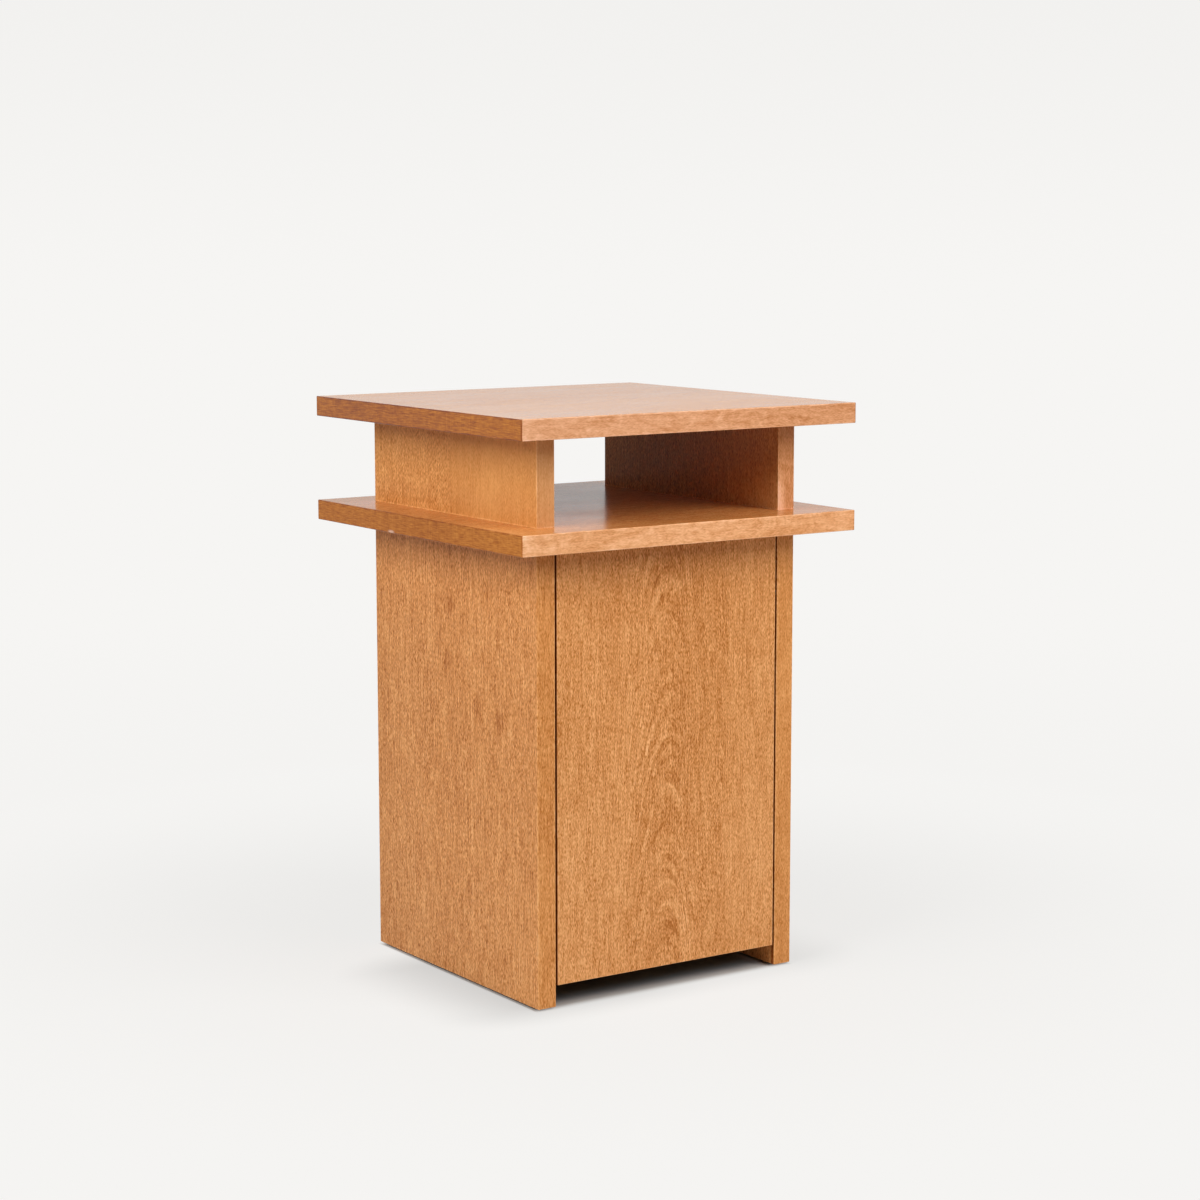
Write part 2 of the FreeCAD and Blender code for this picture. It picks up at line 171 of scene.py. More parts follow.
class Graph:
    """The nodes of a material or a world while they are being written."""

    def __init__(self, tree: bpy.types.NodeTree) -> None:
        """Starts without nodes."""
        self.tree = tree
        self.tree.nodes.clear()

    def add(self, kind: str, *values: Feed, **settings: object) -> bpy.types.Node:
        """Adds a node and feeds its first inputs.

        Args:
            kind: Blender's name of the node.
            *values: What goes in, in the order of its inputs.
            **settings: Properties of the node and their values.

        Returns:
            The new node.
        """
        node = self.tree.nodes.new(kind)
        for key, value in settings.items():
            setattr(node, key, value)
        for socket, value in zip(node.inputs, values):
            self.feed(socket, value)
        return node

    def feed(self, socket: Socket, value: Feed) -> None:
        """Links a socket to an output or gives it a fixed value.

        Args:
            socket: The input socket.
            value: An output socket, a number or a row of numbers.
        """
        if isinstance(value, Socket):
            self.tree.links.new(value, socket)
        else:
            socket.default_value = value

    def plug(self, node: bpy.types.Node, **values: Feed) -> None:
        """Feeds inputs of a node by name.

        Args:
            node: The node.
            **values: Names of inputs in lower case with underscores, and their values.
        """
        names = {socket.name.lower().replace(" ", "_"): socket for socket in node.inputs}
        for key, value in values.items():
            self.feed(names[key], value)

    def sum(self, operation: str, *values: Feed) -> Socket:
        """Returns a number worked out by one operation, such as MULTIPLY_ADD."""
        return self.add("ShaderNodeMath", *values, operation=operation).outputs[0]

    def vector(self, operation: str, *values: Feed) -> Socket:
        """Returns a vector worked out by one operation, such as MULTIPLY_ADD."""
        return self.add("ShaderNodeVectorMath", *values, operation=operation).outputs["Vector"]

    def length(self, vector: Socket) -> Socket:
        """Returns a vector's length."""
        return self.add("ShaderNodeVectorMath", vector, operation="LENGTH").outputs["Value"]

    def split(self, vector: Socket) -> list[Socket]:
        """Returns a vector's three numbers."""
        return list(self.add("ShaderNodeSeparateXYZ", vector).outputs)

    def join(self, *parts: Feed) -> Socket:
        """Returns a vector of up to three numbers, the rest being 0."""
        return self.add("ShaderNodeCombineXYZ", *parts).outputs[0]

    def span(self, value: Feed, low: float, high: float, start: Feed = 0.0, end: Feed = 1.0) -> Socket:
        """Maps the range from low to high smoothly to the one from start to end."""
        node = self.add("ShaderNodeMapRange", value, low, high, start, end, interpolation_type="SMOOTHSTEP")
        return node.outputs[0]

    def mix(self, share: Feed, first: Feed, second: Feed) -> Socket:
        """Mixes two colours.

        Args:
            share: How much of the second colour shows, from 0 to 1.
            first: The first colour.
            second: The second colour.

        Returns:
            The mixture.
        """
        node = self.add("ShaderNodeMix", share, data_type="RGBA")
        for index, colour in zip(MIX_COLOURS, (first, second)):
            self.feed(node.inputs[index], opaque(colour))
        return node.outputs[MIX_RESULT]

    def backdrop_or(self, other: Socket, backdrop: Socket, share: Feed = 1.0) -> Socket:
        """Shows the backdrop to camera, glossy and transmission rays, and something else to all others.

        Args:
            other: The shader for all other rays.
            backdrop: The shader of the backdrop.
            share: How much of the backdrop the first rays see.

        Returns:
            The shader of both.
        """
        path = self.add("ShaderNodeLightPath").outputs
        mirrored = self.sum("MAXIMUM", path["Is Glossy Ray"], path["Is Transmission Ray"])
        seen = self.sum("MAXIMUM", path["Is Camera Ray"], mirrored)
        return self.add("ShaderNodeMixShader", self.sum("MULTIPLY", share, seen), other, backdrop).outputs[0]


class Recipe(Graph):
    """A material while its nodes are being written."""

    seed_steps: Vector3 = (1.0, 1.7, 2.3)
    spot_core: float = 0.25

    def __init__(self, name: str) -> None:
        """Starts a material with one shader.

        Args:
            name: The material's name.
        """
        self.material = bpy.data.materials.new(name)
        self.material.use_nodes = True
        super().__init__(self.material.node_tree)
        self.shader = self.add("ShaderNodeBsdfPrincipled")
        self.output = self.add("ShaderNodeOutputMaterial")
        self.feed(self.output.inputs["Surface"], self.shader.outputs["BSDF"])
        self.coordinates = self.add("ShaderNodeTexCoord")

    def replace_shader(self, shader: Socket) -> None:
        """Shows another shader in place of the first one."""
        self.feed(self.output.inputs["Surface"], shader)
        self.tree.nodes.remove(self.shader)

    def place(self) -> Socket:
        """Returns the point of the surface in millimetres."""
        return self.vector("MULTIPLY", self.coordinates.outputs["Object"], (MM_PER_METRE,) * 3)

    def facing(self) -> list[Socket]:
        """Returns the squares of the surface normal's three parts, which add up to 1."""
        normal = self.coordinates.outputs["Normal"]
        return self.split(self.vector("MULTIPLY", normal, normal))

    def noise(
        self, place: Socket, size: Vector3, seed: float, detail: float = 2.0, distortion: float = 0.0
    ) -> Socket:
        """Adds cloudy noise that averages 0.5.

        Args:
            place: The point in millimetres.
            size: How far a blotch reaches along x, y and z, in millimetres.
            seed: Where in the noise the pattern starts.
            detail: How many finer layers are added.
            distortion: How much the pattern is warped.

        Returns:
            The noise.
        """
        inverse = tuple(1.0 / length for length in size)
        start = tuple(seed * step for step in self.seed_steps)
        node = self.add("ShaderNodeTexNoise", noise_dimensions="3D")
        point = self.vector("MULTIPLY_ADD", place, inverse, start)
        self.plug(node, vector=point, scale=1.0, detail=detail, distortion=distortion)
        return node.outputs["Fac"]

    def figure(self, place: Socket, layer: Layer, grain: Axis, seed: float) -> Socket:
        """Returns the noise of one layer of figure whose fibres follow an axis."""
        return self.noise(place, layer.reach(grain), seed, layer.detail, layer.distortion)

    def layered(self, start: Feed, layers: Sequence[tuple[Layer, Socket]]) -> Feed:
        """Adds to a number each layer's strength times its noise.

        Args:
            start: The number.
            layers: The layers and their noises.

        Returns:
            The sum.
        """
        for layer, noise in layers:
            start = self.sum("MULTIPLY_ADD", noise, layer.strength, start)
        return start

    def sway(self, noise: Socket, strength: float, middle: Feed = 0.0) -> Socket:
        """Returns a number that noise moves about its middle, by half its strength to either side."""
        return self.sum("MULTIPLY_ADD", noise, strength, self.sum("SUBTRACT", middle, 0.5 * strength))

    def spot(self, place: Socket, mark: Mark) -> Socket:
        """Masks a soft egg-shaped spot.

        Args:
            place: The point in millimetres.
            mark: Where the spot is, and its half sizes along x, y and z.

        Returns:
            1 in the middle, and 0 outside.
        """
        inverse = tuple(1.0 / length for length in mark.reach)
        start = tuple(-part / length for part, length in zip(mark.centre, mark.reach))
        away = self.length(self.vector("MULTIPLY_ADD", place, inverse, start))
        return self.span(away, self.spot_core, 1.0, 1.0, 0.0)

    def ramp(self, value: Feed, stops: Sequence[tuple[float, Sequence[float]]]) -> Socket:
        """Turns a number from 0 to 1 into a colour.

        Args:
            value: The number.
            stops: Places from 0 to 1 and their linear colours.

        Returns:
            The colour.
        """
        node = self.add("ShaderNodeValToRGB", value)
        elements = node.color_ramp.elements
        while len(elements) < len(stops):
            elements.new(0.5)
        for element, (position, colour) in zip(elements, stops):
            element.position = position
            element.color = opaque(colour)
        return node.outputs["Color"]

    def bump(self, height: Socket, depth: float, strength: float) -> None:
        """Gives the surface relief.

        Args:
            height: The relief, from 0 to 1.
            depth: Its depth in millimetres.
            strength: How far it shows.
        """
        node = self.add("ShaderNodeBump")
        self.plug(node, strength=strength, distance=depth / MM_PER_METRE, height=height)
        self.set(normal=node.outputs["Normal"])

    def set(self, **values: Feed) -> None:
        """Feeds the first shader's inputs by name."""
        self.plug(self.shader, **values)


STAIN: Colour = (0.61, 0.243, 0.066)
ABSORBED: Colour = (0.22, 0.355, 0.58)
BARE_WOOD: Colour = (0.72, 0.47, 0.36)
BRIGHTEST = 0.93
TONE_REACH = 4.0
# Tones, and the depths of stain they get: the dark side goes further than the light one.
TONE_CURVE: tuple[Range, ...] = (
    (-4.0, -4.1), (-2.0, -2.0), (-1.0, -0.85), (0.0, 0.25), (1.0, 1.1), (2.0, 1.7), (3.2, 2.2),
)
BAND_SPAN = 400.0
# Veneer sawn along the trunk: calm with straight grain at the rims, curly with arches in the middle.
FLAT_SAWN: tuple[Band, ...] = (
    (-151.0, 0.2, 0.2, 0.8), (-45.0, 0.1, 0.5, 0.85), (0.0, -0.15, 1.0, 0.9),
    (55.0, 0.0, 0.7, 0.85), (151.0, 0.2, 0.2, 0.8),
)


def stained(base: Colour, tone: float) -> Colour:
    """Returns veneer's colour with less or more stain: base times e to the tone times absorption."""
    return tuple(min(BRIGHTEST, part * float(np.exp(tone * share))) for part, share in zip(base, ABSORBED))


def dyed(base: Colour) -> list[tuple[float, Colour]]:
    """Returns a stain's colours over the reach of tones, as places from 0 to 1 and colours."""
    return [(0.5 + tone / (2.0 * TONE_REACH), stained(base, depth)) for tone, depth in TONE_CURVE]


@dataclass(frozen=True)
class Veneer:
    """Stained and satin-lacquered veneer of one board."""

    name: str
    lay: Lay
    seed: float
    tone: float = 0.0
    base: Colour = STAIN
    edge_base: Colour = STAIN
    end_base: Colour = STAIN
    edge_tone: float = 0.0
    edge_grain: float = 0.6
    end_tone: float = 0.0
    # Tones along the arrises: lighter, partly through wear and partly as a painted highlight; a negative end
    # tone paints a shadow line.
    wear_and_highlight: float = 1.1
    end_arris_tone: float = 1.1
    join: float = 0.0
    bands: tuple[Band, ...] = FLAT_SAWN
    marks: tuple[Mark, ...] = ()
    bare: tuple[Mark, ...] = ()
    lean: float = 0.4
    arch: float = 0.06
    arch_at: float = 0.0
    flecks: Layer = Layer(2.9, 0.55, 8.8, 0.5)
    dashes: Layer = Layer(12.0, 1.5, 0.5, 1.0, 0.4)
    fibres: Layer = Layer(22.0, 0.75, 2.5, 1.2)
    blotches: Layer = Layer(24.0, 14.0, 0.8, 1.0, 0.4)
    streaks: Layer = Layer(110.0, 6.0, 0.9, 2.5)
    pores: Layer = Layer(3.6, 0.8, 1.5, 0.0)
    pore_range: Range = (0.6, 0.72)
    lines: Layer = Layer(38.0, 1.1, 0.8, 0.0)
    light_lines: Range = (0.6, 0.7)
    dark_lines: Range = (0.3, 0.4)
    drift: Layer = Layer(150.0, 60.0, 14.0)
    second_leaf: Vector3 = (31.0, 47.0, 73.0)
    curl: Layer = Layer(9.0, 45.0, 4.2, 2.0, 0.3)
    patches: Layer = Layer(45.0, 45.0, 1.2, 1.0)
    patch_range: Range = (0.35, 0.65)
    least_curl: float = 0.4
    cloud: Layer = Layer(120.0, 55.0, 0.6, 1.0)
    end_size: Vector3 = (0.9, 12.0, 0.7)
    end_strength: float = 7.5
    rubbing: Layer = Layer(14.0, 14.0, 1.0, 2.0)
    rub_range: Range = (0.3, 0.6)
    least_rub: float = 0.35
    arris_reach: Range = (0.4, 1.5)
    end_reach: Range = (0.8, 1.6)
    roughness: float = 0.3
    cloud_sheen: float = 0.1
    fleck_sheen: float = 0.12
    fleck_relief: float = 0.7
    specular: float = 0.12

    def make(self, box: Box) -> Material:
        """Writes the veneer's nodes.

        The tone is the sum of noise layers drawn out along the grain, of bands across the leaves, of the
        marks, some of which are painted light and shade, and of the arrises' tone, which is partly wear and
        partly painted highlight and shadow, and a colour ramp turns it into stain.

        Args:
            box: The board's lowest and highest corners in millimetres.

        Returns:
            The material.
        """
        ink = Recipe(self.name)
        place = ink.place()
        squares = ink.facing()
        ends = squares[self.lay.grain.value]
        edges = squares[self.lay.across.value]
        leaf = self._leaf(ink, place)
        shade, curls, specks = self._bands(ink, place)
        flecks = self._figure(ink, leaf, self.flecks, Shift.FLECKS)
        fibres = self._figure(ink, leaf, self.fibres, Shift.FIBRES)
        cloud = self._figure(ink, leaf, self.cloud, Shift.CLOUD)
        speckle = ink.sum("MULTIPLY", self._speckle(ink, leaf, flecks, fibres), specks)
        speckle = ink.sum("MULTIPLY", speckle, ink.sum("MULTIPLY_ADD", edges, self.edge_grain - 1.0, 1.0))
        if self.lay is Lay.SLAB:
            end_grain = ink.noise(place, self.end_size, self.seed + Shift.END_GRAIN.value, detail=1.5)
            speckle = self._between(ink, ends, speckle, ink.sway(end_grain, self.end_strength))
        tone = ink.sum("ADD", self._broad(ink, leaf, cloud, shade), speckle)
        tone = self._curled(ink, leaf, curls, tone)
        for mark in self.marks:
            tone = ink.sum("MULTIPLY_ADD", ink.spot(place, mark), mark.tone, tone)
        tone = ink.sum("MULTIPLY_ADD", ends, self.end_tone, tone)
        tone = ink.sum("MULTIPLY_ADD", edges, self.edge_tone, tone)
        tone = ink.sum("ADD", tone, self._arris_tone(ink, place, box))
        lacquer = ink.sway(cloud, self.cloud_sheen, self.roughness)
        ink.set(
            base_color=self._colour(ink, place, tone, (edges, ends)),
            roughness=ink.sway(flecks, self.fleck_sheen, lacquer),
            ior=1.5,
            specular_ior_level=self.specular,
        )
        relief = ink.sum("MULTIPLY", fibres, 1.0 - self.fleck_relief)
        ink.bump(ink.sum("MULTIPLY_ADD", flecks, self.fleck_relief, relief), depth=0.05, strength=0.35)
        return ink.material

    def _figure(self, ink: Recipe, place: Socket, layer: Layer, shift: Shift) -> Socket:
        """Returns the noise of one of the board's layers of figure."""
        return ink.figure(place, layer, self.lay.grain, self.seed + shift.value)

    def _leaf(self, ink: Recipe, place: Socket) -> Socket:
        """Finds where in the noise a point of the board lies.

        The leaf beyond the join lies elsewhere than the first one, and broad noise times a width across
        the grain makes the fibres wander.

        Args:
            ink: The material being written.
            place: The point in millimetres.

        Returns:
            The point in the noise.
        """
        second = ink.sum("GREATER_THAN", ink.split(place)[self.lay.across.value], self.join)
        leaf = ink.vector("MULTIPLY_ADD", ink.join(second, second, second), self.second_leaf, place)
        drift = self._figure(ink, leaf, self.drift, Shift.DRIFT)
        sideways = tuple(0.0 if axis is self.lay.grain else self.drift.strength for axis in Axis)
        return ink.vector("MULTIPLY_ADD", ink.join(drift, drift, drift), sideways, leaf)

    def _bands(self, ink: Recipe, place: Socket) -> list[Socket]:
        """Reads the bands across the board.

        Args:
            ink: The material being written.
            place: The point in millimetres.

        Returns:
            The tone as a place in its reach, and the shares of curls and of flecks.
        """
        stops = [
            (at / BAND_SPAN + 0.5, (0.5 + shade / (2.0 * TONE_REACH), curl, fleck))
            for at, shade, curl, fleck in self.bands
        ]
        across = ink.split(place)[self.lay.across.value]
        return ink.split(ink.ramp(ink.sum("MULTIPLY_ADD", across, 1.0 / BAND_SPAN, 0.5), stops))

    def _broad(self, ink: Recipe, leaf: Socket, cloud: Socket, shade: Socket) -> Socket:
        """Works out the tone of the bands, blotches, streaks and clouds.

        Args:
            ink: The material being written.
            leaf: The point in the noise.
            cloud: The clouds' noise.
            shade: The bands' tone as a place in its reach.

        Returns:
            The tone.
        """
        blotches = self._figure(ink, leaf, self.blotches, Shift.BLOTCHES)
        streaks = self._figure(ink, leaf, self.streaks, Shift.STREAKS)
        layers = ((self.blotches, blotches), (self.streaks, streaks), (self.cloud, cloud))
        start = self.tone - 0.5 * sum(layer.strength for layer, _ in layers) - TONE_REACH
        return ink.layered(ink.sum("MULTIPLY_ADD", shade, 2.0 * TONE_REACH, start), layers)

    def _speckle(self, ink: Recipe, leaf: Socket, flecks: Socket, fibres: Socket) -> Socket:
        """Works out the tone of the short figure: flecks, fibres, dashes, pores and lines.

        Args:
            ink: The material being written.
            leaf: The point in the noise.
            flecks: The flecks' noise.
            fibres: The fibres' noise.

        Returns:
            The tone.
        """
        dashes = self._figure(ink, leaf, self.dashes, Shift.DASHES)
        layers = ((self.flecks, flecks), (self.fibres, fibres), (self.dashes, dashes))
        tone = ink.layered(-0.5 * sum(layer.strength for layer, _ in layers), layers)
        pore = self._figure(ink, leaf, self.pores, Shift.PORES)
        line = self._figure(ink, leaf, self.lines, Shift.LINES)
        tone = ink.sum("SUBTRACT", tone, ink.span(pore, *self.pore_range, 0.0, self.pores.strength))
        tone = ink.sum("ADD", tone, ink.span(line, *self.light_lines, 0.0, self.lines.strength))
        return ink.sum("SUBTRACT", tone, ink.span(line, *self.dark_lines, self.lines.strength, 0.0))

    def _curled(self, ink: Recipe, leaf: Socket, share: Socket, tone: Socket) -> Socket:
        """Adds the arches to a tone, in patches where they are stronger or weaker.

        Args:
            ink: The material being written.
            leaf: The point in the noise.
            share: The bands' share of curls.
            tone: The tone before.

        Returns:
            The tone after.
        """
        curl = self._figure(ink, self._slant(ink, leaf), self.curl, Shift.CURL)
        patch = ink.span(self._figure(ink, leaf, self.patches, Shift.PATCHES), *self.patch_range)
        local = ink.sum("MULTIPLY_ADD", patch, self.patches.strength, self.least_curl)
        swing = ink.sway(curl, self.curl.strength)
        return ink.sum("MULTIPLY_ADD", swing, ink.sum("MULTIPLY", share, local), tone)

    def _slant(self, ink: Recipe, place: Socket) -> Socket:
        """Bends the figure into arches: the place along the grain grows with the distance from the
        arch's middle times the lean, and with its square times the arch's curvature.

        Args:
            ink: The material being written.
            place: The point in millimetres.

        Returns:
            The bent point.
        """
        parts = ink.split(place)
        aside = ink.sum("SUBTRACT", parts[self.lay.across.value], self.arch_at)
        slope = ink.sum("MULTIPLY_ADD", aside, self.arch, self.lean)
        parts[self.lay.grain.value] = ink.sum("MULTIPLY_ADD", aside, slope, parts[self.lay.grain.value])
        return ink.join(*parts)

    def _between(self, ink: Recipe, share: Feed, first: Feed, second: Feed) -> Socket:
        """Returns a number between two others: the first plus a share times their difference."""
        return ink.sum("MULTIPLY_ADD", ink.sum("SUBTRACT", second, first), share, first)

    def _arris_tone(self, ink: Recipe, place: Socket, box: Box) -> Socket:
        """Works out the tone along the arrises: lighter, partly rubbed and partly a painted highlight, and
        darker as a painted shadow line where an end's tone is negative.

        Of a point's three distances to the box's sides, the smallest is about nothing, and the middle
        one is how far the nearest arris is.

        Args:
            ink: The material being written.
            place: The point in millimetres.
            box: The board's lowest and highest corners in millimetres.

        Returns:
            The tone that the arrises add.
        """
        centre = tuple(-0.5 * (low + high) for low, high in zip(*box))
        half = tuple(0.5 * (high - low) for low, high in zip(*box))
        aside = ink.vector("ABSOLUTE", ink.vector("ADD", place, centre))
        gaps = ink.split(ink.vector("SUBTRACT", half, aside))
        low, high, total = (
            ink.sum(kind, gaps[0], ink.sum(kind, gaps[1], gaps[2])) for kind in ("MINIMUM", "MAXIMUM", "ADD")
        )
        middle = ink.sum("SUBTRACT", ink.sum("SUBTRACT", total, low), high)
        near = ink.span(middle, *self.arris_reach, 1.0, 0.0)
        patchy = self._figure(ink, place, self.rubbing, Shift.RUBBING)
        rubbed = ink.sum("MULTIPLY", near, ink.span(patchy, *self.rub_range, self.least_rub, 1.0))
        at_end = ink.span(gaps[self.lay.grain.value], *self.end_reach, 1.0, 0.0)
        return ink.sum("MULTIPLY", rubbed, self._between(ink, at_end, self.wear_and_highlight, self.end_arris_tone))

    def _colour(self, ink: Recipe, place: Socket, tone: Socket, masks: tuple[Socket, Socket]) -> Socket:
        """Turns the tone into stain, with other stains on edges and ends, and with bare wood.

        Args:
            ink: The material being written.
            place: The point in millimetres.
            tone: The tone.
            masks: Where the edges and the ends are.

        Returns:
            The colour.
        """
        shade = ink.sum("MULTIPLY_ADD", tone, 0.5 / TONE_REACH, 0.5)
        colour = ink.ramp(shade, dyed(self.base))
        for other, mask in zip((self.edge_base, self.end_base), masks):
            if other != self.base:
                colour = ink.mix(mask, colour, ink.ramp(shade, dyed(other)))
        for mark in self.bare:
            share = ink.sum("MULTIPLY", ink.spot(place, mark), mark.tone)
            colour = ink.mix(share, colour, BARE_WOOD)
        return colour


@dataclass(frozen=True)
class Timber:
    """Plain unstained wood, such as a dowel's."""

    name: str
    grain: Axis
    seed: float
    light: Colour = (0.56, 0.36, 0.2)
    dark: Colour = (0.36, 0.2, 0.1)
    fibres: Layer = Layer(30.0, 0.8, 0.5, 2.0)
    flecks: Layer = Layer(3.0, 0.5, 0.5, 1.0)
    fleck_shift: float = 3.0
    roughness: float = 0.6
    fleck_sheen: float = 0.2

    def make(self) -> Material:
        """Writes pale wood whose fibres and short flecks are noise drawn out along the grain.

        Returns:
            The material.
        """
        ink = Recipe(self.name)
        place = ink.place()
        fibre = ink.figure(place, self.fibres, self.grain, self.seed)
        fleck = ink.figure(place, self.flecks, self.grain, self.seed + self.fleck_shift)
        fibrous = ink.sum("MULTIPLY", fibre, self.fibres.strength)
        tone = ink.sum("MULTIPLY_ADD", fleck, self.flecks.strength, fibrous)
        ink.set(base_color=ink.ramp(tone, [(0.3, self.dark), (0.7, self.light)]), ior=1.5)
        ink.set(roughness=ink.sway(fleck, self.fleck_sheen, self.roughness))
        ink.bump(tone, depth=0.08, strength=0.5)
        return ink.material


class Working(Enum):
    """How a metal part was made, which sets the direction and size of its marks in millimetres."""

    TURNED_X = (0.25, 9.0, 9.0)
    TURNED_Y = (9.0, 0.25, 9.0)
    ROLLED = (6.0, 6.0, 0.6)
    PLATED = (2.5, 2.5, 2.5)
    DRAWN = (1.2, 1.2, 1.2)


@dataclass(frozen=True)
class Metal:
    """Bare or plated metal."""

    name: str
    working: Working
    bright: Colour
    dull: Colour
    roughness: float
    seed: float
    cloud_size: Vector3 = (5.0, 5.0, 5.0)
    cloud_shift: float = 4.0
    mark_share: float = 0.35
    mark_sheen: float = 0.12
    cloud_sheen: float = 0.25

    def make(self) -> Material:
        """Writes metal with tool marks, dulled in soft clouds.

        Returns:
            The material.
        """
        ink = Recipe(self.name)
        place = ink.place()
        marks = ink.noise(place, self.working.value, self.seed)
        clouds = ink.noise(place, self.cloud_size, self.seed + self.cloud_shift, detail=3.0, distortion=0.5)
        clouded = ink.sum("MULTIPLY", clouds, 1.0 - self.mark_share)
        tone = ink.sum("MULTIPLY_ADD", marks, self.mark_share, clouded)
        ink.set(base_color=ink.ramp(tone, [(0.35, self.dull), (0.6, self.bright)]), metallic=1.0)
        sheen = ink.sway(clouds, self.cloud_sheen, self.roughness)
        ink.set(roughness=ink.sway(marks, self.mark_sheen, sheen))
        ink.bump(marks, depth=0.02, strength=0.6)
        return ink.material


# Bright and dull zinc plating, as screws have it.
ZINC: Pair = ((0.7, 0.68, 0.62), (0.5, 0.47, 0.4))


@dataclass(frozen=True)
class Plastic:
    """Moulded plastic with a fine spark-eroded grain."""

    name: str
    colour: Colour
    worn: Colour
    roughness: float
    seed: float
    grain_size: Vector3 = (0.35, 0.35, 0.35)
    cloud_size: Vector3 = (9.0, 9.0, 9.0)
    cloud_shift: float = 6.0
    cloud_sheen: float = 0.2

    def make(self) -> Material:
        """Writes plastic whose grain is fine noise, a little paler where it was rubbed.

        Returns:
            The material.
        """
        ink = Recipe(self.name)
        place = ink.place()
        grain = ink.noise(place, self.grain_size, self.seed)
        clouds = ink.noise(place, self.cloud_size, self.seed + self.cloud_shift)
        ink.set(base_color=ink.ramp(clouds, [(0.35, self.worn), (0.65, self.colour)]), ior=1.46)
        ink.set(roughness=ink.sway(clouds, self.cloud_sheen, self.roughness))
        ink.bump(grain, depth=0.03, strength=0.5)
        return ink.material


def board_box(node: str) -> Box:
    """Returns a board's lowest and highest corners in millimetres."""
    return tuple(tuple(float(part) * MM_PER_METRE for part in corner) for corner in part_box(node))


def coat(node: str, material: Material) -> None:
    """Gives a piece of the construction its finish.

    Args:
        node: The piece's name.
        material: The finish.
    """
    piece = frame["nodes"][node]
    for slot in piece.material_slots:
        slot.material = material


def veneer(node: str, finish: Veneer) -> None:
    """Gives a board its veneer."""
    coat(node, finish.make(board_box(node)))


def add_object(name: str, data: bpy.types.ID) -> bpy.types.Object:
    """Adds an object to the scene.

    Args:
        name: The object's name.
        data: Its mesh, lamp or camera.

    Returns:
        The object.
    """
    thing = bpy.data.objects.new(name, data)
    bpy.context.scene.collection.objects.link(thing)
    return thing


def add_piece(
    name: str, points: np.ndarray, faces: list[list[int]], finish: Material, smooth: bool = False
) -> bpy.types.Object:
    """Adds a piece of geometry to the scene.

    Args:
        name: The piece's name.
        points: Its points in metres.
        faces: The points of each face.
        finish: Its finish.
        smooth: Whether it is shaded as one curved surface.

    Returns:
        The piece.
    """
    mesh = bpy.data.meshes.new(name)
    mesh.from_pydata(points.tolist(), [], faces)
    if smooth:
        mesh.polygons.foreach_set("use_smooth", np.ones(len(mesh.polygons), dtype=bool))
    mesh.materials.append(finish)
    mesh.update()
    LOG.info("%s: %s, %d faces", name, finish.name, len(mesh.polygons))
    return add_object(name, mesh)


